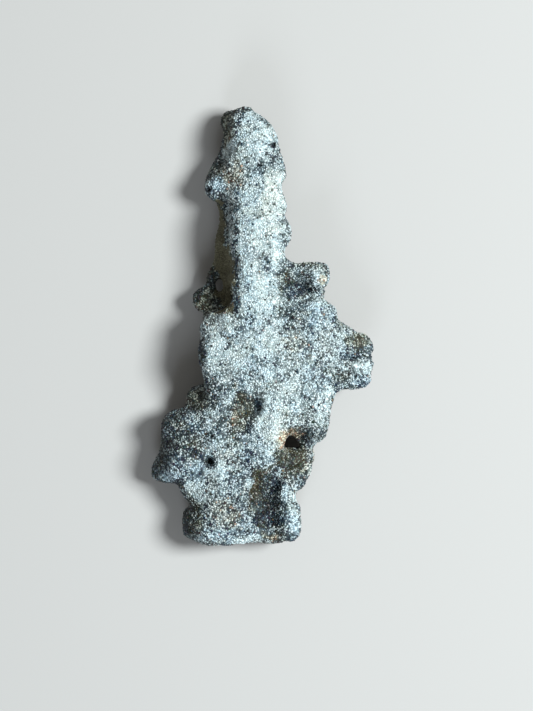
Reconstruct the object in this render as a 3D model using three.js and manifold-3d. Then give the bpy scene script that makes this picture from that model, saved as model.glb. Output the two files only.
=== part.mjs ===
// A fulgurite: dune sand that a lightning strike fused into one crooked, lumpy stick of grainy grey glass.
// It lies on its back. +Y runs along the stick to its narrow tip, +X to the side that has the shoulder knob
// and the three-ridged lobe, and +Z up, out of its best side. East is +X here, and north is +Y.
// All lengths are in millimetres.

import * as THREE from 'three';
import { ImprovedNoise } from 'three/addons/math/ImprovedNoise.js';
import { mergeVertices } from 'three/addons/utils/BufferGeometryUtils.js';
import Module from 'manifold-3d';

// Driving dimensions.
const LENGTH = 60; // from the tip to the foot
const FACET = 0.95; // side of a facet
const MELT = 1.6; // how far one lump melts into the next
const RIM = 0.9; // how softly a hollow's rim is rounded
const SWELLS = { height: 0.6, pitch: 4.3 }; // low swellings all over the surface
const BUMPS = { height: 0.36, pitch: 2.2 }; // smaller bumps on top of the swellings
const FLOOR = 0; // height at which the lowest lumps are worn flat
const MARGIN = 2.5; // empty space measured round the lumps

// Lumps. Each is a chain of balls, [x, y, z, radius], joined by tapering limbs.
const LUMPS = {
  // The column, from the tip down into the body.
  tip: [[-4.1, 28.6, 2.9, 1.65], [-2.9, 28.2, 4.4, 2.15], [-1.6, 26.8, 5.0, 2.75]],
  column: [
    [-1.5, 24.8, 5.0, 3.5],
    [-1.2, 21.8, 4.7, 3.7],
    [-1.2, 18.6, 5.8, 3.6],
    [-0.9, 16.9, 6.0, 3.7],
    [-1.1, 15.2, 6.3, 3.5],
    [-0.3, 13.5, 6.5, 3.75],
    [-0.7, 11.4, 6.8, 3.3],
    [-1.0, 9.6, 7.0, 3.1],
    [-0.7, 6.0, 7.4, 3.25],
    [-0.4, 2.5, 7.7, 3.4],
    [0.3, -1.5, 7.5, 3.5],
    [1.0, -5.5, 7.7, 3.4],
  ],
  columnCrest: [
    [0.2, 24.4, 6.6, 2.0],
    [1.2, 21.4, 6.9, 2.05],
    [0.8, 19.2, 7.0, 1.9],
    [1.3, 16.9, 7.3, 1.9],
    [0.7, 15.2, 7.6, 1.8],
    [1.6, 13.5, 7.5, 1.9],
    [0.3, 10.2, 8.4, 1.6],
  ],
  columnWestCrest: [[-2.5, 15.0, 7.4, 2.0], [-2.3, 9.0, 8.1, 2.0], [-2.0, 4.0, 8.6, 2.1]],
  columnBack: [[-2.3, 19.0, 4.4, 2.6], [-2.6, 12.0, 4.4, 2.7], [-2.2, 6.0, 4.6, 3.0]],
  upperKnob: [[-3.6, 20.8, 5.2, 2.6], [-6.4, 19.4, 4.9, 2.15]],
  upperKnobNeck: [[-5.5, 21.5, 3.8, 2.0], [-4.4, 24.6, 3.4, 1.3]],

  // The thin low wall along the column's west side, with the arm and the knob that close its hole.
  westWall: [
    [-5.0, 17.2, 3.0, 1.3],
    [-4.6, 15.0, 3.0, 1.2],
    [-4.8, 12.0, 3.1, 1.6],
    [-4.5, 9.0, 3.2, 1.7],
    [-4.3, 5.0, 3.5, 1.5],
    [-4.3, 2.4, 3.8, 1.7],
  ],
  westArm: [[-5.3, 9.4, 3.2, 0.75], [-6.75, 7.2, 3.1, 0.7], [-7.1, 5.4, 3.1, 0.7], [-8.0, 4.1, 3.2, 0.95]],
  westKnob: [[-8.4, 3.7, 3.2, 1.35], [-6.2, 2.6, 3.6, 1.7], [-6.8, 1.6, 4.4, 1.3]],
  westSill: [[-7.2, 4.0, 3.1, 0.9], [-5.4, 4.1, 3.3, 1.1]],

  // The body: a broad lumpy mass.
  westBump: [[-6.4, 0.2, 6.7, 2.0], [-6.7, -2.6, 7.8, 2.1], [-6.6, -4.9, 7.3, 2.3]],
  bodyWest: [[-3.2, 0.4, 7.6, 2.9], [-2.4, -2.8, 8.1, 2.8], [-3.8, -5.6, 7.8, 2.7], [-4.6, -7.4, 7.0, 2.6]],
  bodyMiddle: [[-0.8, -3.6, 7.8, 2.8], [-1.2, -7.0, 7.9, 2.4]],
  bodySouthWest: [[-5.6, -7.4, 6.6, 2.0], [-5.6, -10.4, 6.4, 1.9], [-6.4, -13.0, 6.0, 2.4]],
  bodyNorth: [[3.4, 2.0, 6.6, 2.8], [6.6, 1.9, 7.9, 2.6], [8.2, 1.4, 7.9, 2.05]],
  bodyEast: [[3.2, -1.0, 7.6, 2.9], [6.0, -2.2, 7.9, 2.9], [8.6, -2.6, 7.2, 2.7]],
  bodySouth: [[3.6, -5.4, 8.1, 3.0], [6.6, -6.4, 7.4, 3.0], [7.5, -8.9, 6.9, 2.0]],
  flank: [[4.0, -8.8, 7.6, 2.8], [6.9, -9.8, 7.8, 2.25], [4.6, -11.6, 7.0, 2.6], [6.7, -11.8, 7.6, 2.15]],
  spur: [[6.7, -12.0, 7.3, 2.2], [7.2, -14.4, 5.6, 1.8], [5.9, -16.6, 3.2, 0.8]],
  ridge: [
    [1.2, -6.5, 8.6, 2.8],
    [1.6, -9.8, 9.3, 2.1],
    [1.4, -12.6, 9.1, 2.0],
    [0.8, -15.6, 7.8, 2.1],
    [-0.2, -17.8, 7.0, 2.0],
  ],
  ridgeWest: [
    [-5.2, -8.0, 7.8, 1.5],
    [-4.0, -8.8, 8.0, 1.3],
    [-4.7, -11.6, 7.6, 1.3],
    [-4.8, -14.4, 7.5, 1.3],
  ],
  heartSlope: [[-0.8, -9.3, 8.4, 1.5], [-1.1, -11.4, 8.3, 1.6], [-1.4, -13.6, 7.9, 1.5]],
  bodyBack: [
    [0.5, 1.0, 4.6, 3.8],
    [2.0, -7.0, 4.6, 4.0],
    [-2.5, -12.5, 4.4, 3.8],
    [-4.0, -19.5, 4.2, 3.6],
    [-3.5, -24.8, 4.0, 3.2],
  ],
  eastBack: [[6.4, -1.0, 4.6, 3.2], [6.2, -8.0, 4.6, 3.2], [2.5, -13.0, 5.4, 3.2]],

  // The east side: the shoulder knob, and the three-ridged lobe south of it.
  shoulderKnob: [[2.4, 8.1, 6.8, 1.6], [4.6, 7.7, 6.9, 1.3], [7.2, 7.0, 7.9, 1.85]],
  shoulderBack: [[3.2, 5.4, 5.0, 2.6], [6.1, 4.8, 5.0, 2.4]],
  eastLobe: [[9.4, -3.4, 6.6, 2.9], [12.4, -5.2, 5.7, 2.1]],
  eastRidge: [[9.6, -0.4, 5.4, 1.6], [13.7, -3.0, 4.8, 1.65]],
  eastRidgeTop: [[9.0, -1.0, 7.0, 1.6], [10.6, -1.6, 6.9, 1.5]],
  eastKnuckles: [
    [13.6, -4.9, 6.9, 1.4],
    [13.4, -7.2, 5.9, 1.4],
    [11.2, -6.9, 5.4, 1.5],
    [9.4, -6.9, 6.0, 2.0],
  ],

  // The west side: a low ledge, then the west lobe with its toe.
  westLedge: [[-9.0, -10.1, 3.7, 1.9], [-7.0, -9.6, 4.4, 1.9]],
  westLobe: [
    [-11.0, -14.4, 4.6, 3.35],
    [-7.6, -13.6, 5.4, 3.0],
    [-10.6, -17.4, 5.0, 3.6],
    [-6.6, -16.6, 5.8, 3.2],
  ],
  westToe: [[-13.7, -19.6, 3.8, 1.9], [-10.4, -19.0, 4.8, 2.5], [-9.6, -21.8, 5.0, 2.15]],

  // The lower body and the foot.
  lowerBody: [
    [-3.2, -17.4, 6.2, 2.9],
    [-6.0, -19.6, 6.2, 2.9],
    [-4.4, -21.8, 6.0, 2.8],
    [-7.4, -22.8, 5.6, 2.4],
    [-7.8, -20.4, 6.0, 2.5],
  ],
  lowerBodyEast: [[0.4, -17.6, 6.3, 2.3], [-2.2, -20.2, 5.9, 2.4], [-3.4, -23.6, 5.8, 2.5]],
  footWest: [[-9.3, -26.3, 3.0, 1.7], [-9.1, -28.1, 3.2, 1.9]],
  foot: [[-7.2, -27.2, 5.0, 2.7], [-4.6, -25.6, 5.8, 2.8], [-4.6, -27.3, 5.0, 2.5], [-2.0, -27.0, 4.9, 2.7]],
  footEast: [
    [3.0, -20.3, 5.7, 0.9],
    [2.9, -22.2, 6.3, 1.3],
    [3.7, -24.8, 6.4, 1.35],
    [3.6, -28.1, 5.8, 1.75],
  ],
  footSlope: [[1.4, -23.4, 4.4, 1.5], [1.6, -25.4, 4.5, 1.5], [1.6, -27.4, 4.5, 1.5]],
  footFill: [[0.4, -22.6, 3.7, 2.6], [1.2, -27.1, 3.4, 2.7]],
  fin: [[5.5, -18.2, 2.2, 1.6], [4.8, -19.8, 2.4, 1.5], [3.6, -21.4, 3.6, 1.5]],
  finRim: [[6.2, -17.8, 3.6, 0.8], [5.8, -19.4, 3.9, 0.8], [4.6, -21.2, 4.6, 0.9]],
  finRoot: [[3.4, -18.6, 2.6, 1.8], [0.8, -19.4, 4.2, 2.1]],
  eastHoleWall: [
    [1.7, -15.6, 2.4, 2.0],
    [2.4, -14.2, 2.0, 1.8],
    [4.2, -13.5, 1.8, 1.6],
    [6.2, -15.0, 1.8, 1.4],
  ],

  // The lumps that it rests on.
  restTip: [[-2.4, 24.8, 2.4, 2.8], [-2.0, 21.0, 3.4, 2.4]],
  restWest: [[-9.6, -17.4, 2.8, 3.2], [-5.0, -19.0, 4.0, 3.2]],
  restFoot: [[1.8, -26.0, 2.4, 2.8], [-3.0, -25.0, 4.0, 3.0]],
  restEast: [[8.8, -4.8, 2.8, 3.2], [3.0, -5.0, 4.6, 4.0]],
};

// Hollows pressed into the lumps, as chains of balls too.
const HOLLOWS = {
  shoulderPocket: [[3.4, 5.7, 8.7, 1.4], [5.6, 4.8, 8.5, 1.2]],
  columnPit: [[1.1, 24.6, 8.6, 0.9], [1.5, 24.4, 8.8, 0.9]],
  westPit: [[-7.4, -18.3, 9.7, 1.0], [-7.4, -18.4, 9.2, 0.8]],
  heart: [[-2.2, -10.8, 10.7, 1.8], [-2.9, -12.6, 10.8, 1.8], [-3.8, -15.0, 10.9, 1.6]],
  heartDish: [[-2.2, -10.6, 12.4, 3.2], [-2.8, -12.4, 12.3, 3.0]],
  westDimple: [[-4.5, -1.6, 11.9, 1.8], [-4.0, -3.4, 11.8, 1.8]],
  footGroove: [
    [2.0, -19.4, 7.8, 0.9],
    [1.5, -21.5, 6.8, 1.2],
    [0.2, -23.4, 8.1, 2.5],
    [0.2, -25.0, 8.0, 2.4],
    [0.7, -26.5, 7.3, 1.6],
  ],
  eastValley: [[10.2, -3.8, 9.9, 0.9], [12.2, -3.9, 8.7, 0.9], [14.6, -3.7, 7.2, 0.7]],
  eastPocket: [[11.1, -7.3, 7.9, 1.0], [11.6, -6.8, 8.0, 0.8]],
  knuckleGap: [[15.4, -6.2, 4.4, 0.7], [15.4, -6.2, 8.4, 0.7]],
  spurNotch: [[7.5, -16.9, 0.4, 0.75], [7.4, -16.9, 5.6, 0.75]],
};

// Two holes right through, each an outline in X and Y.
const HOLES = {
  west: [
    [-6.2, 6.9],
    [-6.65, 6.4],
    [-6.7, 5.6],
    [-6.4, 5.0],
    [-5.8, 4.85],
    [-5.4, 5.3],
    [-5.5, 6.2],
    [-5.8, 6.8],
  ],
  east: [
    [2.75, -16.75],
    [2.85, -16.1],
    [3.2, -15.3],
    [3.55, -14.9],
    [3.95, -14.9],
    [4.4, -15.2],
    [4.85, -15.8],
    [5.4, -16.75],
  ],
};

const noise = new ImprovedNoise();

// Distance from a point to the limb that tapers from ball a to ball b, negative inside it.
function limbDistance(x, y, z, [ax, ay, az, aRadius], [bx, by, bz, bRadius]) {
  const [dx, dy, dz] = [bx - ax, by - ay, bz - az];
  const along = ((x - ax) * dx + (y - ay) * dy + (z - az) * dz) / (dx * dx + dy * dy + dz * dz);
  const t = Math.min(Math.max(along, 0), 1);
  const toAxis = Math.hypot(x - ax - t * dx, y - ay - t * dy, z - az - t * dz);
  return toAxis - aRadius - t * (bRadius - aRadius);
}

function chainDistance(x, y, z, chain) {
  let nearest = Infinity;
  for (let i = 1; i < chain.length; i++) {
    nearest = Math.min(nearest, limbDistance(x, y, z, chain[i - 1], chain[i]));
  }
  return nearest;
}

// The smaller of two distances, rounded off over the given width where they are nearly the same.
function meltTogether(a, b, width) {
  const overlap = Math.max(width - Math.abs(a - b), 0) / width;
  return Math.min(a, b) - (overlap * overlap * width) / 4;
}

// Height of the swellings and bumps that cover the whole surface.
function relief(x, y, z) {
  let height = 0;
  for (const layer of [SWELLS, BUMPS]) {
    height += layer.height * noise.noise(x / layer.pitch + 7.3, y / layer.pitch + 1.7, z / layer.pitch + 4.1);
  }
  return height;
}

// Distance from a point to the stone's surface, negative inside the stone.
function stoneDistance(x, y, z) {
  let distance = Infinity;
  for (const chain of Object.values(LUMPS)) {
    distance = meltTogether(distance, chainDistance(x, y, z, chain), MELT);
  }
  for (const chain of Object.values(HOLLOWS)) {
    distance = -meltTogether(-distance, chainDistance(x, y, z, chain), RIM);
  }
  return distance - relief(x, y, z);
}

// The corners of a grid cell as steps along X, Y and Z, and the pairs of them that share an edge.
const CORNERS = [0, 1, 2, 3, 4, 5, 6, 7].map((bits) => [bits & 1, (bits >> 1) & 1, (bits >> 2) & 1]);
const EDGES = CORNERS.flatMap((_, from) => {
  return [1, 2, 4].filter((bit) => !(from & bit)).map((bit) => [from, from | bit]);
});
// The rings of corners round the three faces of a cell that meet at its first corner.
const FACES = [[0, 1, 3, 2], [0, 2, 6, 4], [0, 1, 5, 4]];

function forEachStep(start, end, visit) {
  for (let k = start; k < end[2]; k++) {
    for (let j = start; j < end[1]; j++) {
      for (let i = start; i < end[0]; i++) visit(i, j, k);
    }
  }
}

// A box of grid points round all the lumps, with the stone's distance at each of them.
function measureGrid() {
  const box = new THREE.Box3();
  for (const [x, y, z, radius] of Object.values(LUMPS).flat()) {
    const ball = new THREE.Sphere(new THREE.Vector3(x, y, z), radius + MARGIN);
    box.union(ball.getBoundingBox(new THREE.Box3()));
  }
  const origin = box.min.toArray();
  const count = box.getSize(new THREE.Vector3()).toArray().map((side) => Math.ceil(side / FACET) + 1);
  const index = (i, j, k) => i + count[0] * (j + count[1] * k);
  const values = new Float64Array(count[0] * count[1] * count[2]);
  forEachStep(0, count, (...steps) => {
    const point = steps.map((step, axis) => origin[axis] + step * FACET);
    values[index(...steps)] = stoneDistance(...point);
  });
  return { origin, count, index, values };
}

// A net can't part two sheets that pass through one cell. So where corners are inside and outside by turns
// round a cell's face, or two lone corners face each other across the cell, the one nearest to the surface
// changes sides, until no such place is left.
function untangle({ count, index, values }) {
  const inside = (corner) => values[corner] < 0;
  const alternates = ([a, b, c, d]) => {
    return inside(a) === inside(c) && inside(b) === inside(d) && inside(a) !== inside(b);
  };
  const changeSides = (corners) => {
    const nearest = corners.reduce((a, b) => (Math.abs(values[a]) < Math.abs(values[b]) ? a : b));
    values[nearest] = inside(nearest) ? FACET / 1000 : -FACET / 1000;
  };
  const last = count.map((steps) => steps - 1);
  let changed = true;
  while (changed) {
    changed = false;
    forEachStep(0, last, (i, j, k) => {
      const cell = CORNERS.map(([x, y, z]) => index(i + x, j + y, k + z));
      const rings = FACES.map((ring) => ring.map((corner) => cell[corner]));
      const sides = [cell.filter(inside), cell.filter((corner) => !inside(corner))];
      const tangle = rings.find(alternates) ?? sides.find((side) => {
        return side.length === 2 && cell.indexOf(side[0]) + cell.indexOf(side[1]) === CORNERS.length - 1;
      });
      if (!tangle) return;
      changeSides(tangle);
      changed = true;
    });
  }
}

// Moves a point along the steepest way onto the stone's surface.
function settle(point) {
  const nudge = FACET / 100;
  const longest = FACET / 4;
  for (let pass = 0; pass < 4; pass++) {
    const here = stoneDistance(...point);
    const slope = point.map((_, axis) => {
      const beside = [...point];
      beside[axis] += nudge;
      return (stoneDistance(...beside) - here) / nudge;
    });
    const steepness = Math.hypot(...slope) ** 2 + nudge;
    const step = Math.min(Math.max(here / steepness, -longest), longest);
    point = point.map((value, axis) => value - step * slope[axis]);
  }
  return point;
}

// The surface as a net: a vertex in each cell that it crosses, and a quad round each grid edge that it cuts.
function netGeometry() {
  const grid = measureGrid();
  untangle(grid);
  const { origin, count, index, values } = grid;
  const positions = [];
  const vertexOf = new Map();
  forEachStep(0, count.map((steps) => steps - 1), (i, j, k) => {
    const cell = CORNERS.map(([x, y, z]) => values[index(i + x, j + y, k + z)]);
    const cuts = EDGES.filter(([from, to]) => cell[from] < 0 !== cell[to] < 0);
    if (!cuts.length) return;
    const middle = [0, 0, 0];
    for (const [from, to] of cuts) {
      const t = cell[from] / (cell[from] - cell[to]);
      for (let axis = 0; axis < 3; axis++) {
        middle[axis] += (CORNERS[from][axis] + t * (CORNERS[to][axis] - CORNERS[from][axis])) / cuts.length;
      }
    }
    vertexOf.set(index(i, j, k), positions.length);
    positions.push(settle([i, j, k].map((step, axis) => origin[axis] + (step + middle[axis]) * FACET)));
  });

  const apart = (a, b) => Math.hypot(...positions[a].map((value, axis) => value - positions[b][axis]));
  const strides = [index(1, 0, 0), index(0, 1, 0), index(0, 0, 1)];
  const triangles = [];
  forEachStep(1, count.map((steps) => steps - 1), (i, j, k) => {
    const here = index(i, j, k);
    for (let axis = 0; axis < 3; axis++) {
      const inside = values[here] < 0;
      if (inside === values[here + strides[axis]] < 0) continue;
      const across = strides[(axis + 1) % 3];
      const beyond = strides[(axis + 2) % 3];
      const round = [here, here - across, here - across - beyond, here - beyond];
      const quad = round.map((cell) => vertexOf.get(cell));
      if (!inside) quad.reverse();
      const [a, b, c, d] = quad;
      triangles.push(...(apart(a, c) < apart(b, d) ? [a, b, c, a, c, d] : [a, b, d, b, c, d]));
    }
  });

  const geometry = new THREE.BufferGeometry();
  geometry.setAttribute('position', new THREE.Float32BufferAttribute(positions.flat(), 3));
  geometry.setIndex(triangles);
  return geometry;
}

const wasm = await Module();
wasm.setup();

function solidFrom(geometry) {
  const bare = geometry.clone();
  bare.deleteAttribute('normal');
  bare.deleteAttribute('uv');
  const merged = mergeVertices(bare, FACET / 10000);
  const mesh = new wasm.Mesh({
    numProp: 3,
    vertProperties: merged.attributes.position.array,
    triVerts: new Uint32Array(merged.index.array),
  });
  return new wasm.Manifold(mesh);
}

function geometryFrom(solid) {
  const mesh = solid.getMesh();
  const geometry = new THREE.BufferGeometry();
  geometry.setAttribute('position', new THREE.BufferAttribute(mesh.vertProperties, 3));
  geometry.setIndex(new THREE.BufferAttribute(mesh.triVerts, 1));
  return geometry;
}

// A straight-sided plug with the given outline, longer than the stone is thick.
function holePlug(outline) {
  const shape = new THREE.Shape(outline.map(([x, y]) => new THREE.Vector2(x, y)));
  const plug = new THREE.ExtrudeGeometry(shape, { depth: LENGTH, bevelEnabled: false });
  plug.translate(0, 0, -LENGTH / 2);
  return solidFrom(plug);
}

// Everything under the height at which the lowest lumps are worn flat.
function groundBlock() {
  const block = new THREE.BoxGeometry(2 * LENGTH, 2 * LENGTH, LENGTH);
  block.translate(0, 0, FLOOR - LENGTH / 2);
  return solidFrom(block);
}

// The whole stone, on the ground with its origin under the middle of its box.
function stoneGeometry() {
  let stone = solidFrom(netGeometry());
  for (const outline of Object.values(HOLES)) {
    stone = stone.subtract(holePlug(outline));
  }
  const geometry = geometryFrom(stone.subtract(groundBlock()));
  geometry.computeBoundingBox();
  const { min, max } = geometry.boundingBox;
  geometry.translate(-(min.x + max.x) / 2, -(min.y + max.y) / 2, -FLOOR);
  const scale = LENGTH / (max.y - min.y);
  geometry.scale(scale, scale, scale);
  geometry.computeVertexNormals();
  return geometry;
}

const fusedSand = new THREE.MeshStandardMaterial({ color: '#8a9493', roughness: 0.85, metalness: 0 });

const fulgurite = new THREE.Mesh(stoneGeometry(), fusedSand);
fulgurite.name = 'fulgurite';

const part = new THREE.Group();
part.add(fulgurite);

export default part;
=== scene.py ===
"""A fulgurite: a crooked, lumpy stick of fused sand lying on its back on a pale floor, seen from above.

Its skin is the solid's surface, smoothed, crumbled and pitted. Some 40,000 sand grains are stuck on the skin.
"""

import itertools
import math

import bpy
import numpy as np
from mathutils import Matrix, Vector, noise


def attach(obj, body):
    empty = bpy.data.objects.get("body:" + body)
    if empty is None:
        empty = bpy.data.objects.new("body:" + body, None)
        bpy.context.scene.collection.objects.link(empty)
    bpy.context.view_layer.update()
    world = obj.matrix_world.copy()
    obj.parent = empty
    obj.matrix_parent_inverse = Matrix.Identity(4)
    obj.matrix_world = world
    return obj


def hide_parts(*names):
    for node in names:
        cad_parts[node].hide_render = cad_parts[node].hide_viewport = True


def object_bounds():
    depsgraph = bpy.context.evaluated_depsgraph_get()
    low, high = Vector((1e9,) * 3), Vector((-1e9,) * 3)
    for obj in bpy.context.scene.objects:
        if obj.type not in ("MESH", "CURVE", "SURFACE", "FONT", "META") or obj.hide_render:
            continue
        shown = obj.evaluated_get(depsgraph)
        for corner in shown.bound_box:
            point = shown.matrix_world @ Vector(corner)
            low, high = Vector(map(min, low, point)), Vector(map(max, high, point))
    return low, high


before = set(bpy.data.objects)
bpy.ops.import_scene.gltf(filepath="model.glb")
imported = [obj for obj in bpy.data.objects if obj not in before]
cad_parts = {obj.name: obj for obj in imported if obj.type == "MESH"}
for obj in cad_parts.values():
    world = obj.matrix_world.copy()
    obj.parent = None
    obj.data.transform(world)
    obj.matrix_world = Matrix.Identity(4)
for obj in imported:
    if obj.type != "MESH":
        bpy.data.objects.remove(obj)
cad_low, cad_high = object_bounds()

MM = 0.001
NODE = "fulgurite"

# ---- The skin: sizes in millimetres ----
VOXEL = 0.24
SMOOTHING = 10  # passes, out and back, that round the facets of the solid
SPREAD = 90  # passes that flatten every lump, which leaves the hollows to be measured against
DRAWN_IN = 0.5  # share of its own place that a point keeps in a pass that draws it in
PUSHED_OUT = 1.53  # the same in a pass that pushes it back out
INSET = 0.06  # how far the skin lies inside the solid, so that the grains end at its outline
CRUMB = ((0.10, 1.1, 0), (0.05, 0.5, 1))  # height, pitch and seed of the skin's uneven crumb
SEED_STEPS = (17.3, 5.1, 9.7)  # how far one seed lies from the next in the noise

# ---- The pits: sizes next to a pit's radius ----
PIT_RIM = 1.25  # where a pit starts, from its middle
PIT_BED = 0.45  # where it has its full depth
PIT_SURROUNDINGS = 1.5  # how far round its middle the highest point is looked for
PIT_REACH = 2  # how far below that point the skin still sinks
UPWARD = 0.1  # the least height of a normal where the skin sinks

# ---- The sand: sizes in millimetres ----
# radius, tries
SIZES = ((0.19, 30000), (0.155, 100000), (0.12, 160000))
SIZE_SPREAD = (0.88, 1.12)
CLOSE = 0.63  # how close grains lie, as a share of the sum of their radii
SUNK = (0.2, 0.6)
FORMS = 24  # different grain shapes
LUMPY = (0.72, 1.2)  # how far a form's corners lie from its middle, next to its radius
STRETCH = (0.68, 1.32)
PIECES = 5

rng = np.random.default_rng(20)


# ---- Meshes as arrays ----


def mesh_arrays(mesh):
    """Points and triangles of a mesh, as arrays in millimetres."""
    mesh.calc_loop_triangles()
    points = np.empty(len(mesh.vertices) * 3, np.float32)
    mesh.vertices.foreach_get("co", points)
    triangles = np.empty(len(mesh.loop_triangles) * 3, np.int32)
    mesh.loop_triangles.foreach_get("vertices", triangles)
    return points.reshape(-1, 3).astype(float) / MM, triangles.reshape(-1, 3)


def new_object(name, points, triangles):
    """An object made of the triangles, with the points in millimetres."""
    mesh = bpy.data.meshes.new(name)
    mesh.vertices.add(len(points))
    mesh.vertices.foreach_set("co", (points * MM).astype(np.float32).ravel())
    mesh.loops.add(triangles.size)
    mesh.loops.foreach_set("vertex_index", triangles.astype(np.int32).ravel())
    mesh.polygons.add(len(triangles))
    mesh.polygons.foreach_set(
        "loop_start", np.arange(0, triangles.size, 3, dtype=np.int32)
    )
    mesh.update(calc_edges=True)
    made = bpy.data.objects.new(name, mesh)
    bpy.context.scene.collection.objects.link(made)
    return made


def vertex_normals(points, triangles):
    """Each point's normal, from the triangles round it by their size."""
    corner = points[triangles]
    face = np.cross(corner[:, 1] - corner[:, 0], corner[:, 2] - corner[:, 0])
    total = np.zeros_like(points)
    for side in range(3):
        np.add.at(total, triangles[:, side], face)
    return total / np.maximum(np.linalg.norm(total, axis=1, keepdims=True), 1e-12)


def neighbours(triangles):
    """Both ends of every edge, each way round."""
    sides = np.concatenate([triangles[:, [0, 1]], triangles[:, [1, 2]], triangles[:, [2, 0]]])
    sides = np.unique(np.sort(sides, axis=1), axis=0)
    return np.concatenate([sides, sides[:, ::-1]])


def smoothed(values, edges, passes, keep=DRAWN_IN):
    """Values on the points, each moved towards its neighbours' average again and again."""
    count = np.bincount(edges[:, 0], minlength=len(values))[:, None]
    for _ in range(passes):
        total = np.stack(
            [
                np.bincount(edges[:, 0], column[edges[:, 1]], minlength=len(values))
                for column in values.T
            ],
            axis=1,
        )
        values = values * keep + total / count * (1 - keep)
    return values


def rounded(points, edges, passes):
    """Points with their small corners rounded off, and the lumps as large as before."""
    for _ in range(passes):
        points = smoothed(points, edges, 1, DRAWN_IN)
        points = smoothed(points, edges, 1, PUSHED_OUT)
    return points


def noise_at(points, pitch, seed):
    """Smooth noise from -1 to 1 at each point."""
    shift = Vector([seed * step for step in SEED_STEPS])
    return np.array([noise.noise(Vector(p) / pitch + shift) for p in points])


def layered(points, layers):
    """The sum of layers of noise, each with its strength, pitch and seed."""
    return sum(strength * noise_at(points, pitch, seed) for strength, pitch, seed in layers)


def ramp(value, low, high):
    """0 below low, 1 above high, and smooth between them. low may be the higher one."""
    t = np.clip((value - low) / (high - low), 0, 1)
    return t * t * (3 - 2 * t)


# ---- The skin ----

# Pits in the skin, and a few rises: x, y, radius, depth
PITS = (
    (1.5, 24.6, 0.45, 0.9),
    (-7.1, -18.3, 0.6, 1.0),
    (-6.8, -14.9, 0.4, 0.6),
    (10.4, -4.0, 0.25, 0.5),
    (12.3, -4.2, 0.25, 0.7),
    (12.8, -4.1, 0.25, 0.7),
    (12.7, -6.7, 0.3, 0.6),
    (-0.4, 21.8, 0.3, 0.5),
    (0.8, 10.7, 0.4, 0.45),
    (-7.2, 18.7, 0.3, 0.6),
    (-4.7, -2.9, 0.2, 0.4),
    (3.9, 1.2, 0.35, 0.35),
    (-8.5, -19.6, 0.3, 0.35),
    (1.7, -21.7, 0.6, 0.7),
    (0.4, -9.9, 0.7, -0.35),
    (0.5, -10.6, 0.7, -0.4),
    (0.1, -11.4, 0.7, -0.45),
    (-0.4, -12.2, 0.7, -0.4),
    (-0.8, -12.9, 0.7, -0.4),
    (-1.2, -13.7, 0.7, -0.3),
)


def remeshed(node):
    """An even mesh of the solid's form."""
    copy = bpy.data.objects.new("remesh", node.data.copy())
    bpy.context.scene.collection.objects.link(copy)
    modifier = copy.modifiers.new("remesh", "REMESH")
    modifier.mode = "VOXEL"
    modifier.voxel_size = VOXEL * MM
    bpy.context.view_layer.update()
    evaluated = copy.evaluated_get(bpy.context.evaluated_depsgraph_get())
    points, triangles = mesh_arrays(evaluated.to_mesh())
    evaluated.to_mesh_clear()
    bpy.data.objects.remove(copy)
    return points, triangles


def pitted(points, normals):
    """Moves the points that lie in a pit down, and those on a rise up."""
    upward = normals[:, 2] > UPWARD
    for x, y, radius, depth in PITS:
        away = np.hypot(points[:, 0] - x, points[:, 1] - y)
        top = points[(away < PIT_SURROUNDINGS * radius) & upward, 2].max()
        near = upward & (points[:, 2] > top - PIT_REACH * radius)
        points[:, 2] -= near * depth * ramp(away, radius * PIT_RIM, radius * PIT_BED)


def skin_form():
    """The skin's points and triangles, and how deep in a hollow each point lies."""
    points, triangles = remeshed(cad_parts[NODE])
    edges = neighbours(triangles)
    lowest = points[:, 2].min()
    points = rounded(points, edges, SMOOTHING)
    even = smoothed(points, edges, SPREAD)
    normals = vertex_normals(points, triangles)
    hollow = ((even - points) * normals).sum(axis=1)
    move = np.full(len(points), -INSET)
    for height, pitch, seed in CRUMB:
        move += height * noise_at(points, pitch, seed)
    points = points + normals * move[:, None]
    pitted(points, normals)
    points[:, 2] = np.maximum(points[:, 2], lowest)
    return points, triangles, hollow


points, triangles, hollow = skin_form()
normals = vertex_normals(points, triangles)


# ---- The ground on each part of the stone: how light, how stained and how rusty it is, painted shade and light among it ----

# How light, how brown, how rusty, and its tint, from -1, blue, to 1, cream
# The cream and blue tints are partly painted light, warm on lit tops and cool on shaded edges and lower rims,
# and partly the sand's own tone
CLEAN = (1.0, 0.0, 0.0, 0.0)
CREAM = (1.0, 0.05, 0.0, 1.0)
BLUE = (0.82, 0.0, 0.0, -1.0)
MIXED = (0.68, 0.0, 0.0, 0.0)
WARM = (0.72, 0.1, 0.55, 1.0)
GREY = (0.3, 0.15, 0.0, 0.0)
# Painted shade: the darkest ground, laid in pits and grooves and on walls and sides that the light does not
# reach
BLACK_SHADE = (0.0, 0.1, 0.0, -0.2)
# Painted shade: a dark blue-grey for shaded walls and edges
NAVY_SHADE = (0.03, 0.0, 0.0, -1.0)
TAN = (0.3, 1.3, 0.0, 0.0)
SANDY = (0.3, 0.62, 0.0, 0.1)
HAZY = (0.6, 0.0, 0.0, -0.9)
PINK = (0.64, 0.15, 0.3, 0.6)
BROWN = (0.15, 0.6, 0.0, 0.3)
DRAB = (0.0, 0.6, 0.0, 0.0)
UMBER = (0.0, 0.55, 0.0, 0.5)
DUSTY = (0.3, 0.5, 0.0, 0.0)
OLIVE = (0.5, 0.4, 0.0, 0.2)
RUST = (0.7, 0.2, 1.0, 0.5)
DARK_RUST = (0.35, 0.3, 0.9, 0.3)
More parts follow.
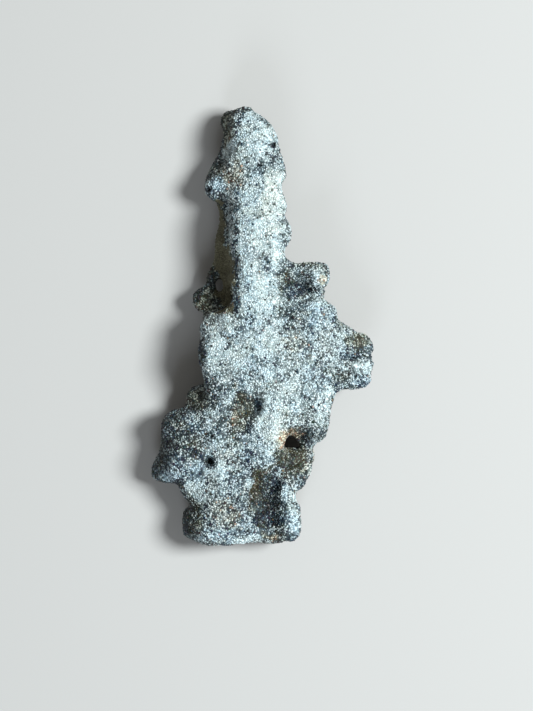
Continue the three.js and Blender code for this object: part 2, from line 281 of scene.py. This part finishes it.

# Patches of ground: x, y, reach along x, reach along y, how much they cover, kind of ground
# The black and navy patches are painted shade; the light patches marked below paint light
PATCHES = (
    # The column and its tip
    (-0.5, 10.0, 3.2, 9.5, 0.8, CLEAN),
    (-2.1, 13.0, 1.1, 3.2, 0.45, BLUE),
    (-2.0, 12.2, 1.3, 1.7, 1.3, CLEAN),
    (-1.4, 3.8, 1.4, 2.6, 0.4, BLUE),
    (-1.6, 16.9, 1.7, 2.3, 0.9, CLEAN),
    (-3.5, 16.2, 0.4, 1.2, 0.6, NAVY_SHADE),
    (-3.6, 8.0, 0.5, 5.5, 0.7, NAVY_SHADE),
    (-3.5, 3.2, 0.6, 1.6, 0.8, NAVY_SHADE),
    (1.5, 16.5, 1.4, 5.5, 1.1, CREAM),
    (1.3, 9.0, 1.0, 3.5, 0.5, CREAM),
    (1.2, 16.4, 1.6, 1.9, 1.5, CREAM),
    (0.4, 8.2, 1.2, 1.8, 0.5, NAVY_SHADE),
    # Painted shade where the shoulder meets the column
    (3.9, 8.0, 1.4, 1.7, 1.2, GREY),
    (-0.8, 25.0, 2.6, 4.0, 0.8, CLEAN),
    (1.0, 25.0, 1.3, 3.0, 0.8, CLEAN),
    (-1.3, 27.8, 1.5, 1.5, 1.4, CLEAN),
    (-3.7, 23.8, 1.6, 3.2, 1.5, CLEAN),
    (-3.2, 26.0, 1.3, 1.8, 0.6, MIXED),
    (-6.3, 21.4, 1.6, 1.0, 0.6, SANDY),
    (-3.9, 20.2, 1.8, 2.0, 1.3, PINK),
    (-3.6, 17.6, 1.4, 1.6, 0.7, CLEAN),
    (-6.1, 19.0, 1.2, 1.3, 1.0, BLUE),
    (-7.2, 18.7, 0.4, 0.4, 2.0, BLACK_SHADE),
    (-0.3, 21.9, 0.6, 0.7, 0.6, GREY),
    (-0.4, 21.8, 0.35, 0.3, 1.5, BLACK_SHADE),
    (1.4, 24.6, 0.5, 0.5, 2.0, BLACK_SHADE),
    (-4.9, 28.0, 1.2, 3.0, 1.3, SANDY),
    (-3.6, 29.6, 1.6, 0.8, 1.3, GREY),
    # The wall and the knob west of the column
    (-7.4, 3.3, 2.6, 1.9, 1.3, SANDY),
    (-7.2, 6.8, 1.4, 1.8, 1.0, BROWN),
    (-9.0, 4.7, 0.8, 1.3, 2.0, BLACK_SHADE),
    (-6.2, 6.2, 0.9, 1.1, 1.3, BLACK_SHADE),
    (-6.1, 13.0, 1.1, 4.7, 2.5, TAN),
    (-4.3, 15.4, 0.9, 1.5, 1.5, MIXED),
    (-5.1, 6.6, 1.4, 4.8, 2.5, TAN),
    # The shoulder
    (7.5, 6.8, 1.0, 1.2, 0.8, CLEAN),
    (8.2, 8.1, 1.1, 0.9, 0.8, GREY),
    (8.9, 7.6, 0.6, 1.0, 0.9, GREY),
    (5.4, 7.0, 2.0, 1.5, 1.0, MIXED),
    (5.7, 8.7, 2.1, 0.9, 1.1, OLIVE),
    (4.9, 4.9, 2.3, 1.1, 0.7, NAVY_SHADE),
    (6.6, 3.6, 1.3, 1.0, 1.3, CLEAN),
    (4.4, 1.8, 2.2, 2.6, 0.6, GREY),
    (5.3, 2.9, 1.6, 1.2, 0.7, MIXED),
    (4.0, 1.2, 0.6, 0.6, 0.7, BROWN),
    (3.6, 0.0, 1.1, 1.6, 1.0, GREY),
    (7.7, 0.9, 1.8, 1.6, 0.9, HAZY),
    (9.1, 0.0, 0.9, 0.7, 0.8, CLEAN),
    (11.4, 0.2, 1.0, 0.5, 1.2, GREY),
    (11.7, -1.3, 0.8, 0.6, 0.7, CLEAN),
    # The body
    (-5.0, 0.3, 1.4, 1.5, 0.9, CLEAN),
    (-2.1, 1.3, 1.3, 1.5, 0.7, HAZY),
    (-6.1, -2.6, 1.4, 3.2, 1.0, CLEAN),
    (-7.5, -3.4, 0.7, 3.2, 0.6, BLUE),
    (-8.5, -3.4, 0.8, 2.2, 1.1, NAVY_SHADE),
    (-8.2, -4.0, 0.6, 1.0, 1.0, BLACK_SHADE),
    (-2.1, -0.2, 0.5, 0.5, 0.5, GREY),
    (2.0, -3.5, 4.6, 5.0, 0.85, MIXED),
    (-2.1, -4.0, 0.9, 1.0, 0.8, CLEAN),
    (0.3, -3.8, 1.7, 1.0, 0.8, CLEAN),
    (1.0, -1.8, 1.6, 1.8, 0.8, CLEAN),
    (1.2, -6.3, 1.0, 1.3, 0.8, CLEAN),
    (6.5, -2.0, 1.3, 1.8, 0.4, GREY),
    (7.0, -3.0, 3.2, 3.6, 0.6, MIXED),
    (4.5, -2.2, 2.0, 1.3, 0.6, PINK),
    (7.9, -4.8, 1.0, 1.6, 0.6, GREY),
    (8.5, -8.8, 1.5, 1.7, 0.9, CLEAN),
    (6.3, -9.0, 2.2, 3.6, 0.5, MIXED),
    (8.2, -7.5, 1.6, 1.3, 0.6, HAZY),
    # The three-ridged lobe
    (13.0, -1.8, 2.2, 1.0, 1.0, SANDY),
    (10.9, -1.0, 1.0, 0.9, 0.5, CLEAN),
    (12.0, -4.1, 1.6, 0.5, 0.8, NAVY_SHADE),
    (13.6, -5.6, 1.5, 1.0, 1.0, CLEAN),
    (13.7, -7.4, 1.2, 0.7, 0.9, BLUE),
    (14.0, -7.9, 0.9, 0.5, 0.8, NAVY_SHADE),
    # The ridge and the heart-shaped hollow
    (2.1, -13.0, 1.8, 5.6, 1.3, CREAM),
    (1.2, -12.0, 1.3, 2.4, 0.9, CREAM),
    (2.8, -10.2, 1.0, 1.8, 0.7, MIXED),
    (-2.4, -10.9, 1.6, 2.3, 1.2, BROWN),
    (-3.4, -13.2, 1.4, 2.4, 0.7, BROWN),
    (-3.0, -11.6, 0.7, 0.8, 0.7, DUSTY),
    (-0.5, -10.8, 0.8, 1.4, 0.5, NAVY_SHADE),
    (-0.4, -10.6, 0.6, 0.8, 0.5, HAZY),
    (-1.8, -13.4, 0.5, 1.1, 0.6, NAVY_SHADE),
    # Painted light: these three lighten the steep wall east of the hollow, which faces away from the lamp
    (1.2, -11.2, 1.1, 3.0, 2.5, CLEAN),
    (0.6, -13.5, 1.2, 1.5, 2.0, CLEAN),
    (0.1, -13.2, 1.1, 1.8, 2.0, CLEAN),
    (3.4, -13.8, 1.0, 1.6, 0.6, GREY),
    (-5.8, -11.3, 0.9, 1.6, 0.5, BLUE),
    (-4.7, -9.6, 0.9, 1.1, 0.9, CLEAN),
    (-4.5, -12.4, 0.9, 2.0, 0.4, GREY),
    (-3.1, -17.4, 2.4, 2.2, 0.4, GREY),
    # The west side
    (-9.0, -9.8, 2.2, 1.8, 1.0, SANDY),
    (-6.4, -9.5, 0.7, 0.6, 0.7, BLACK_SHADE),
    (-7.8, -7.9, 0.8, 1.5, 0.9, GREY),
    (-6.9, -10.4, 0.8, 0.8, 1.0, GREY),
    (-7.0, -11.0, 0.7, 0.7, 0.6, GREY),
    (-10.8, -14.4, 3.6, 3.8, 0.9, GREY),
    (-12.8, -14.4, 1.8, 3.6, 0.9, BLACK_SHADE),
    (-10.8, -11.8, 1.6, 1.1, 0.8, BLACK_SHADE),
    (-9.3, -12.8, 1.4, 1.1, 0.5, BLUE),
    (-13.7, -18.6, 1.1, 1.5, 1.0, BLACK_SHADE),
    (-10.5, -19.0, 2.6, 1.5, 0.8, HAZY),
    (-9.2, -17.1, 1.5, 1.0, 0.9, NAVY_SHADE),
    (-11.7, -17.6, 1.4, 0.6, 0.7, NAVY_SHADE),
    # Painted light: the bright bluish lower rim of the toe
    (-12.5, -20.3, 1.8, 0.9, 1.0, BLUE),
    (-14.7, -19.6, 1.0, 1.3, 1.2, BLACK_SHADE),
    (-12.6, -20.6, 1.1, 0.7, 1.2, BLUE),
    (-11.0, -21.4, 1.0, 0.6, 1.2, BLACK_SHADE),
    (-11.1, -21.6, 1.0, 0.8, 1.2, BLACK_SHADE),
    (-5.9, -19.5, 1.0, 1.6, 0.9, CLEAN),
    (-6.6, -19.6, 1.4, 1.0, 0.9, CLEAN),
    (-7.1, -18.4, 0.75, 0.75, 2.0, BLACK_SHADE),
    # The lower body and the foot
    (-5.5, -20.5, 3.0, 2.5, 0.3, CLEAN),
    (-3.9, -20.4, 1.5, 1.2, 0.6, GREY),
    (-9.4, -22.4, 1.6, 1.8, 1.0, CLEAN),
    (-8.6, -23.4, 1.1, 1.0, 1.2, CLEAN),
    (-8.5, -23.7, 0.7, 0.9, 1.0, CLEAN),
    (-4.1, -24.4, 2.6, 2.2, 0.35, GREY),
    (-9.9, -26.2, 2.2, 3.2, 1.0, BROWN),
    (-10.5, -26.6, 1.5, 3.2, 1.0, BLACK_SHADE),
    (-4.9, -25.4, 2.6, 2.0, 0.5, WARM),
    # Painted light: the bright bluish lower rim of the foot
    (-5.0, -28.6, 5.0, 1.1, 0.8, BLUE),
    (-1.0, -29.0, 3.0, 0.8, 0.7, CLEAN),
    (-2.5, -29.3, 1.8, 0.8, 1.0, CLEAN),
    (1.7, -28.7, 1.7, 0.9, 0.9, BROWN),
    (1.5, -28.8, 1.0, 0.5, 0.9, DARK_RUST),
    (3.0, -29.3, 1.8, 0.6, 1.0, BLACK_SHADE),
    (3.7, -29.3, 0.8, 0.6, 2.0, BLACK_SHADE),
    (0.0, -23.2, 1.7, 4.4, 1.2, UMBER),
    (0.7, -24.8, 2.0, 2.4, 1.2, BLACK_SHADE),
    (-0.2, -21.8, 1.0, 2.6, 1.2, UMBER),
    (0.4, -21.6, 1.2, 2.0, 1.0, UMBER),
    (1.2, -20.7, 0.9, 0.9, 1.0, BLACK_SHADE),
    (0.7, -21.6, 1.2, 1.8, 1.6, BLACK_SHADE),
    (2.1, -21.6, 1.0, 1.3, 1.0, NAVY_SHADE),
    (1.5, -26.2, 1.6, 0.9, 1.0, NAVY_SHADE),
    (0.0, -26.0, 1.7, 0.9, 1.3, BLACK_SHADE),
    (2.9, -22.4, 0.8, 1.3, 0.9, BLUE),
    (2.8, -20.3, 0.8, 0.7, 1.0, CLEAN),
    (4.1, -22.8, 1.0, 1.6, 0.7, CLEAN),
    (4.3, -25.3, 0.9, 1.4, 0.8, CLEAN),
    (3.9, -27.2, 1.3, 1.8, 0.7, BLUE),
    # The spur, the fin and the east hole
    (5.3, -14.1, 1.6, 0.9, 0.9, GREY),
    (7.1, -14.6, 2.0, 1.4, 0.9, GREY),
    (6.9, -15.7, 0.9, 0.6, 1.2, MIXED),
    (4.9, -14.8, 1.4, 1.0, 1.5, BLACK_SHADE),
    (4.4, -18.4, 2.1, 2.4, 1.3, SANDY),
    (3.9, -18.0, 2.0, 1.8, 2.0, DRAB),
    (4.1, -19.1, 1.3, 1.2, 1.0, DRAB),
    (6.6, -18.8, 0.7, 1.9, 0.9, PINK),
    (2.7, -15.3, 1.0, 1.4, 1.2, RUST),
    (4.4, -14.5, 1.5, 0.8, 1.1, DARK_RUST),
    # Small rusty places
    (8.1, 6.3, 0.7, 0.8, 0.8, RUST),
    (5.5, 8.8, 0.8, 0.5, 0.3, RUST),
    (-3.6, -8.0, 0.6, 0.6, 0.5, WARM),
    (-3.7, -12.6, 0.5, 1.3, 0.5, RUST),
)

# Bare ground, as it is where no patch lies. Depths and heights are in millimetres.
# Each layer of noise is its strength, pitch and seed.
LIGHTENS_FROM = 2.0  # height from which the ground lightens
LIGHTENS_OVER = 8.5  # the rise over which it does
LOW_LIGHT = 0.08
HIGH_LIGHT = 0.78  # what the full rise adds
# Painted shade: how much darker the ground is deep in a hollow
HOLLOW_PAINTED_SHADE = 0.3
HOLLOW_STAIN = 0.45
STAINED_FROM = 0.1  # depth from which a hollow is stained
DEEP = 0.8  # depth at which a hollow has its full darkness and stain
SIDE_BROWNING = 0.6
SIDES = (0.35, -0.3)  # heights of a normal between which a side is browned more and more
LIGHT_SWELLS = ((0.22, 2.6, 9),)

# Patches: how they end and where they hold
EDGE_WOBBLE = ((0.5, 1.3, 7), (0.25, 0.5, 8))
PATCH_EDGE = (1.15, 0.55)  # from nothing to full cover, next to the patch's reach
PATCH_SLOPE = (-0.6, -0.1)  # heights of a normal, from nothing to full cover
HOLD = 0.85  # how well a patch holds on average
HOLD_NOISE = ((0.8, 0.8, 13),)

# Mottling over patches and bare ground alike
LIGHT_MOTTLE = ((0.2, 1.1, 10), (0.14, 0.6, 11))
BROWN_MOTTLE = ((0.2, 1.6, 14),)
TINT_MOTTLE = ((0.8, 2.2, 12),)
# Painted shade: how much darker the steep sides are
STEEP_PAINTED_SHADE = 0.15
STEEP = (0.5, 0.1)  # heights of a normal between which steep ground darkens
LEAST_GROUND = (0, 0, 0, -1)  # light, brown, rust and tint
MOST_GROUND = (1, 1.3, 1, 1)


def bare_ground(points, normals, hollow):
    """How light, brown, rusty and tinted each point is without patches."""
    side = ramp(normals[:, 2], *SIDES)
    high = np.clip((points[:, 2] - LIGHTENS_FROM) / LIGHTENS_OVER, 0, 1)
    # Lighter higher up; painted shade darkens the hollows
    light = LOW_LIGHT + HIGH_LIGHT * high - HOLLOW_PAINTED_SHADE * ramp(hollow, 0.0, DEEP)
    light += layered(points, LIGHT_SWELLS)
    brown = HOLLOW_STAIN * ramp(hollow, STAINED_FROM, DEEP) + SIDE_BROWNING * side * (1 - high)
    plain = np.zeros(len(points))
    return np.stack([light, brown, plain, plain], axis=1)


def ground(points, normals, hollow):
    """How light, brown, rusty and tinted each point is."""
    wobble = layered(points, EDGE_WOBBLE)
    hold = np.clip(HOLD + layered(points, HOLD_NOISE), 0, 1)
    facing_up = ramp(normals[:, 2], *PATCH_SLOPE)
    found = bare_ground(points, normals, hollow)
    for x, y, across, along, cover, kind in PATCHES:
        away = np.hypot((points[:, 0] - x) / across, (points[:, 1] - y) / along) + wobble
        seen = np.minimum(cover * hold * ramp(away, *PATCH_EDGE), 1) * facing_up
        found += seen[:, None] * (np.array(kind) - found)
    found[:, 0] += layered(points, LIGHT_MOTTLE)
    # Painted shade on the steep sides
    found[:, 0] -= STEEP_PAINTED_SHADE * ramp(normals[:, 2], *STEEP)
    found[:, 1] += layered(points, BROWN_MOTTLE)
    found[:, 3] += layered(points, TINT_MOTTLE)
    return np.clip(found, LEAST_GROUND, MOST_GROUND)


light, brown, rust, tint = ground(points, normals, hollow).T

# What a full tint or stain does to a colour: times the first, plus the second
# The cream and blue tints partly paint the colour of the light: warm where it falls, cool on shaded and lower
# sides
CREAMY = ((1.03, 1.0, 0.97), (0.02, 0.011, 0.0))
BLUISH = ((0.92, 0.985, 1.03), (0.0, 0.007, 0.026))
STAIN = ((1.12, 1.0, 0.76), (0.024, 0.017, 0.0))
RUSTY = ((1.1, 0.94, 0.76), (0.03, 0.012, 0.0))
MOST_STAIN = 1.2  # a stain may lie a little more than fully

# The powder that hides the brownest ground: its colour, how much it hides, and from which brownness to which
POWDER = (0.145, 0.137, 0.085)
POWDER_COVER = 0.93
POWDERED = (0.8, 1.0)


def stained(colour, brown, rust, tint):
    """The colours, tinted cream or blue, and then stained. Where it is brownest, powder hides them."""
    for amount, (times, plus) in ((tint, CREAMY), (-tint, BLUISH), (brown, STAIN), (rust, RUSTY)):
        amount = np.clip(amount, 0, MOST_STAIN)[:, None]
        colour = colour * (1 + amount * (np.array(times) - 1)) + amount * np.array(plus)
    powder = POWDER_COVER * ramp(brown, *POWDERED)[:, None]
    return colour + powder * (np.array(POWDER) - colour)


# The glass between the grains, from dark to light ground: how light the ground is, and the glass's colour
# As it follows the ground's lightness, the glass takes the painted shade too
GLASS = (
    (0.0, (0.008, 0.012, 0.015)),
    (0.5, (0.042, 0.062, 0.070)),
    (0.8, (0.22, 0.285, 0.30)),
    (1.0, (0.46, 0.56, 0.57)),
)
glass = np.stack(
    [np.interp(light, [stop[0] for stop in GLASS], [stop[1][i] for stop in GLASS]) for i in range(3)],
    axis=1,
)
glass = stained(glass, brown, rust, tint)


# ---- Materials ----

FLECKS = (0.3, 0.7)  # the noise's values where the flecks are darkest and where they end
MIX_FACTOR, MIX_FIRST, MIX_SECOND, MIX_RESULT = 0, 6, 7, 2  # sockets for mixing two colours


def node_material(name):
    """A new material, its node tree and its surface shader."""
    material = bpy.data.materials.new(name)
    material.use_nodes = True
    tree = material.node_tree
    return material, tree, tree.nodes["Principled BSDF"]


def colour_ramp(tree, stops):
    """Colours between stops, each a position and a colour."""
    made = tree.nodes.new("ShaderNodeValToRGB")
    elements = made.color_ramp.elements
    while len(elements) > 1:
        elements.remove(elements[-1])
    elements[0].position = stops[0][0]
    elements[0].color = (*stops[0][1], 1)
    for position, colour in stops[1:]:
        elements.new(position).color = (*colour, 1)
    return made


def attribute(tree, name):
    """The values kept on the mesh under the name."""
    made = tree.nodes.new("ShaderNodeAttribute")
    made.attribute_name = name
    return made


def noise_texture(tree, scale):
    """Fine noise fixed to the piece. The scale is its waves in a metre."""
    where = tree.nodes.new("ShaderNodeTexCoord")
    made = tree.nodes.new("ShaderNodeTexNoise")
    made.inputs["Scale"].default_value = scale
    made.inputs["Detail"].default_value = 2
    tree.links.new(where.outputs["Object"], made.inputs["Vector"])
    return made


def speckled(tree, name, scale, darkest):
    """The colours kept on the mesh under the name, mottled by fine noise."""
    shade = colour_ramp(tree, [(FLECKS[0], (darkest,) * 3), (FLECKS[1], (1, 1, 1))])
    tree.links.new(noise_texture(tree, scale).outputs["Fac"], shade.inputs["Fac"])
    product = tree.nodes.new("ShaderNodeMix")
    product.data_type = "RGBA"
    product.blend_type = "MULTIPLY"
    product.inputs[MIX_FACTOR].default_value = 1
    tree.links.new(attribute(tree, name).outputs["Color"], product.inputs[MIX_FIRST])
    tree.links.new(shade.outputs["Color"], product.inputs[MIX_SECOND])
    return product.outputs[MIX_RESULT]


def skin_material():
    """Dull, finely pitted glass."""
    material, tree, shader = node_material("fused_glass")
    tree.links.new(speckled(tree, "glass", scale=2600, darkest=0.3), shader.inputs["Base Color"])
    shader.inputs["Roughness"].default_value = 0.55
    shader.inputs["Specular IOR Level"].default_value = 0.2
    bump = tree.nodes.new("ShaderNodeBump")
    bump.inputs["Strength"].default_value = 0.4
    bump.inputs["Distance"].default_value = 0.05 * MM
    tree.links.new(noise_texture(tree, scale=6000).outputs["Fac"], bump.inputs["Height"])
    tree.links.new(bump.outputs["Normal"], shader.inputs["Normal"])
    return material


def grain_material():
    """Sand, with each grain's own colour and roughness."""
    material, tree, shader = node_material("sand_grains")
    tree.links.new(speckled(tree, "grain", scale=9000, darkest=0.8), shader.inputs["Base Color"])
    tree.links.new(attribute(tree, "rough").outputs["Fac"], shader.inputs["Roughness"])
    shader.inputs["Specular IOR Level"].default_value = 0.3
    return material


def keep_colours(mesh, name, colours):
    """Keeps a colour for each point of the mesh."""
    values = np.ones((len(colours), 4), np.float32)
    values[:, :3] = colours
    mesh.attributes.new(name, "FLOAT_COLOR", "POINT").data.foreach_set("color", values.ravel())


skin = new_object("skin", points, triangles)
skin.data.polygons.foreach_set("use_smooth", np.ones(len(triangles), bool))
keep_colours(skin.data, "glass", glass)
skin.data.materials.append(skin_material())
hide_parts(NODE)
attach(skin, "root")


# ---- The sand grains ----


def crowded(grain, cell, grid):
    """Whether a grain, as x, y, z and radius, is too close to one in its cell or in a cell beside it."""
    x, y, z, radius = grain
    for beside in itertools.product(*((step - 1, step, step + 1) for step in cell)):
        for other_x, other_y, other_z, other_radius in grid.get(beside, ()):
            reach = CLOSE * (radius + other_radius)
            if (x - other_x) ** 2 + (y - other_y) ** 2 + (z - other_z) ** 2 < reach * reach:
                return True
    return False


def scattered(points, triangles):
    """Places for grains on the skin, none too close to another: face, weights of its corners, and radius."""
    corner = points[triangles]
    cross = np.cross(corner[:, 1] - corner[:, 0], corner[:, 2] - corner[:, 0])
    area = np.linalg.norm(cross, axis=1)
    cell_size = 2 * SIZES[0][0]
    grid = {}
    faces, weights, radii = [], [], []
    for radius, tries in SIZES:
        face = rng.choice(len(triangles), tries, p=area / area.sum())
        u, v = rng.random(tries), rng.random(tries)
        flip = u + v > 1
        u, v = np.where(flip, 1 - u, u), np.where(flip, 1 - v, v)
        weight = np.stack([1 - u - v, u, v], axis=1)
        place = (corner[face] * weight[:, :, None]).sum(axis=1)
        size = radius * rng.uniform(*SIZE_SPREAD, tries)
        cells = np.floor(place / cell_size).astype(int)
        for i, cell in enumerate(map(tuple, cells)):
            grain = (*place[i], size[i])
            if not crowded(grain, cell, grid):
                grid.setdefault(cell, []).append(grain)
                faces.append(face[i])
                weights.append(weight[i])
                radii.append(size[i])
    return np.array(faces), np.array(weights), np.array(radii)


def icosahedron():
    """The corners, one radius from the middle, and the faces of the form that every grain starts from."""
    golden = (1 + math.sqrt(5)) / 2
    corners = np.array(
        [(-1, golden, 0), (1, golden, 0), (-1, -golden, 0), (1, -golden, 0),
         (0, -1, golden), (0, 1, golden), (0, -1, -golden), (0, 1, -golden),
         (golden, 0, -1), (golden, 0, 1), (-golden, 0, -1), (-golden, 0, 1)]
    ) / math.hypot(1, golden)
    faces = np.array(
        [(0, 11, 5), (0, 5, 1), (0, 1, 7), (0, 7, 10), (0, 10, 11), (1, 5, 9), (5, 11, 4),
         (11, 10, 2), (10, 7, 6), (7, 1, 8), (3, 9, 4), (3, 4, 2), (3, 2, 6), (3, 6, 8),
         (3, 8, 9), (4, 9, 5), (2, 4, 11), (6, 2, 10), (8, 6, 7), (9, 8, 1)]
    )
    return corners, faces


def turns(count):
    """Random turns, as matrices."""
    q = rng.normal(size=(count, 4))
    w, x, y, z = (q / np.linalg.norm(q, axis=1, keepdims=True)).T
    return np.stack(
        [
            np.stack([1 - 2 * (y * y + z * z), 2 * (x * y - w * z), 2 * (x * z + w * y)], axis=1),
            np.stack([2 * (x * y + w * z), 1 - 2 * (x * x + z * z), 2 * (y * z - w * x)], axis=1),
            np.stack([2 * (x * z - w * y), 2 * (y * z + w * x), 1 - 2 * (x * x + y * y)], axis=1),
        ],
        axis=1,
    )


def grain_shapes(place, facing, radius):
    """Every grain's corners: one of a few lumpy forms, stretched, turned and sunk in the skin."""
    count = len(radius)
    forms = corners * rng.uniform(*LUMPY, (FORMS, len(corners), 1))
    stretch = rng.uniform(*STRETCH, (count, 1, 3))
    shapes = forms[rng.integers(0, FORMS, count)] * stretch * radius[:, None, None]
    shapes = np.einsum("nij,nkj->nki", turns(count), shapes)
    sunk = rng.uniform(*SUNK, count)
    shapes += (place - facing * (sunk * radius)[:, None])[:, None, :]
    return np.clip(shapes, np.array(cad_low) / MM, np.array(cad_high) / MM)


# Kinds of sand: share on dark, middling and light ground, colour, roughness
KINDS = (
    ((0.03, 0.39, 0.62), (0.74, 0.87, 0.905), 0.30),
    ((0.11, 0.16, 0.27), (0.52, 0.65, 0.68), 0.45),
    ((0.30, 0.10, 0.08), (0.27, 0.35, 0.375), 0.55),
    ((0.30, 0.18, 0.025), (0.085, 0.12, 0.135), 0.45),
    ((0.24, 0.17, 0.006), (0.014, 0.024, 0.033), 0.35),
    ((0.004, 0.003, 0.001), (0.34, 0.25, 0.16), 0.6),
    ((0.006, 0.004, 0.002), (0.45, 0.38, 0.36), 0.6),
)
DIM = 0.36  # how bright the grains of the darkest ground are, next to those of the lightest
BRIGHTNESS = (0.82, 1.14)
ROUGHER = (-0.08, 0.1)  # what a grain's roughness has more than its kind's
TINT_SPREAD = 0.4
MOST_TINT = 1.2
COLOUR_SPREAD = (0.009, 0.004, 0.009)
STAIN_ROUGHNESS = 0.2  # what a full stain adds
ROUGHEST = 0.9

# Rust-coloured grains: their share of the grains on the rustiest ground, how much rust covers one, the two
# colours it lies between, and its brightness
RUSTY_SHARE = 0.4
RUST_COVER = 0.8
RED = (0.32, 0.14, 0.08)
BUFF = (0.44, 0.35, 0.26)
RUST_BRIGHTNESS = (0.25, 1.4)


def grain_looks(light, brown, rust, tint):
    """Every grain's colour and roughness, from the ground that it lies on."""
    count = len(light)
    shares = np.stack([np.interp(light, (0, 0.5, 1), k[0]) for k in KINDS], axis=1).cumsum(axis=1)
    kind = (rng.random((count, 1)) * shares[:, -1:] > shares).sum(axis=1)
    colour = np.array([k[1] for k in KINDS])[kind] * rng.uniform(*BRIGHTNESS, (count, 1))
    rough = np.array([k[2] for k in KINDS])[kind] + rng.uniform(*ROUGHER, count)
    tint = np.clip(tint + rng.normal(0, TINT_SPREAD, count), -MOST_TINT, MOST_TINT)
    # Grains on darker ground are dimmer, painted shade included
    colour *= (DIM + (1 - DIM) * light)[:, None]
    colour += rng.normal(0, COLOUR_SPREAD, (count, 3))
    colour = stained(colour, brown, rust, tint)
    rusty = (RUST_COVER * (rng.random(count) < RUSTY_SHARE * rust))[:, None]
    redness = rng.random((count, 1))
    orange = redness * np.array(RED) + (1 - redness) * np.array(BUFF)
    colour += rusty * (orange * rng.uniform(*RUST_BRIGHTNESS, (count, 1)) - colour)
    return np.clip(colour, 0, 1), np.clip(rough + STAIN_ROUGHNESS * brown, 0, ROUGHEST)


def keep_cells(mesh, count):
    """Lays every face of a grain over the same triangle of the map, in a cell that only that grain has."""
    across = math.ceil(math.sqrt(count))
    grain = np.arange(count)
    cell = np.stack([grain % across, grain // across], axis=1) / across
    triangle = np.array(((0.2, 0.2), (0.8, 0.2), (0.5, 0.8))) / across
    where = np.repeat(cell, len(corner_faces), axis=0)[:, None, :] + triangle
    mesh.uv_layers.new(name="OFBake").data.foreach_set("uv", where.astype(np.float32).ravel())


corners, corner_faces = icosahedron()
face, weight, radius = scattered(points, triangles)
place = (points[triangles[face]] * weight[:, :, None]).sum(axis=1)
facing = (normals[triangles[face]] * weight[:, :, None]).sum(axis=1)
facing /= np.linalg.norm(facing, axis=1, keepdims=True)
shapes = grain_shapes(place, facing, radius)
colour, rough = grain_looks(
    *((field[triangles[face]] * weight).sum(axis=1) for field in (light, brown, rust, tint))
)

sand = grain_material()
group = rng.integers(0, PIECES, len(radius))
for i in range(PIECES):
    mine = np.flatnonzero(group == i)
    size = len(mine)
    faces = (np.arange(size)[:, None, None] * len(corners) + corner_faces).reshape(-1, 3)
    piece = new_object(f"grains_{i + 1}", shapes[mine].reshape(-1, 3), faces)
    keep_colours(piece.data, "grain", np.repeat(colour[mine], len(corners), axis=0))
    keep_cells(piece.data, size)
    piece.data.attributes.new("rough", "FLOAT", "POINT").data.foreach_set(
        "value", np.repeat(rough[mine], len(corners)).astype(np.float32)
    )
    piece.data.materials.append(sand)
    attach(piece, "root")


# ---- Floor, light and camera: sizes in metres ----

DISTANCE = 0.4  # from the camera to the height that it aims at
SEEN = 96.7 * MM  # what the view shows along its long side at that height
AIM = (0.58 * MM, -3.97 * MM, 6 * MM)
SENSOR = 36  # millimetres


def floor():
    """A wide round sheet of pale paper."""
    bpy.ops.mesh.primitive_circle_add(vertices=96, radius=3, fill_type="NGON", location=(0, 0, 0))
    made = bpy.context.object
    made.name = "floor"
    material, _, shader = node_material("paper")
    shader.inputs["Base Color"].default_value = (0.46, 0.46, 0.455, 1)
    shader.inputs["Roughness"].default_value = 0.9
    made.data.materials.append(material)


def lamp(name, place, size, power, colour):
    """A round soft lamp that points at the stone."""
    data = bpy.data.lights.new(name, "AREA")
    data.shape = "DISK"
    data.size = size
    data.energy = power
    data.color = colour
    made = bpy.data.objects.new(name, data)
    made.location = place
    made.rotation_euler = (-Vector(place)).to_track_quat("-Z", "Y").to_euler()
    bpy.context.scene.collection.objects.link(made)


def studio_walls():
    """An even, faint light from all round."""
    world = bpy.data.worlds.new("studio")
    world.use_nodes = True
    background = world.node_tree.nodes["Background"]
    background.inputs["Color"].default_value = (1.0, 0.99, 0.95, 1)
    background.inputs["Strength"].default_value = 0.2
    bpy.context.scene.world = world


def camera():
    """A camera straight above the stone, with the stone's tip at the top of its view."""
    data = bpy.data.cameras.new("camera")
    data.sensor_width = SENSOR
    data.lens = SENSOR * DISTANCE / SEEN
    data.clip_start = 0.01
    made = bpy.data.objects.new("camera", data)
    made.location = (AIM[0], AIM[1], AIM[2] + DISTANCE)
    bpy.context.scene.collection.objects.link(made)
    bpy.context.scene.camera = made


floor()
lamp("key", place=(0.36, 0.05, 0.47), size=0.2, power=5.7, colour=(0.955, 1.0, 1.0))
lamp("lower", place=(-0.05, -0.45, 0.30), size=0.2, power=0.9, colour=(0.86, 0.93, 1.0))
studio_walls()
camera()
bpy.context.scene.view_settings.view_transform = "Standard"
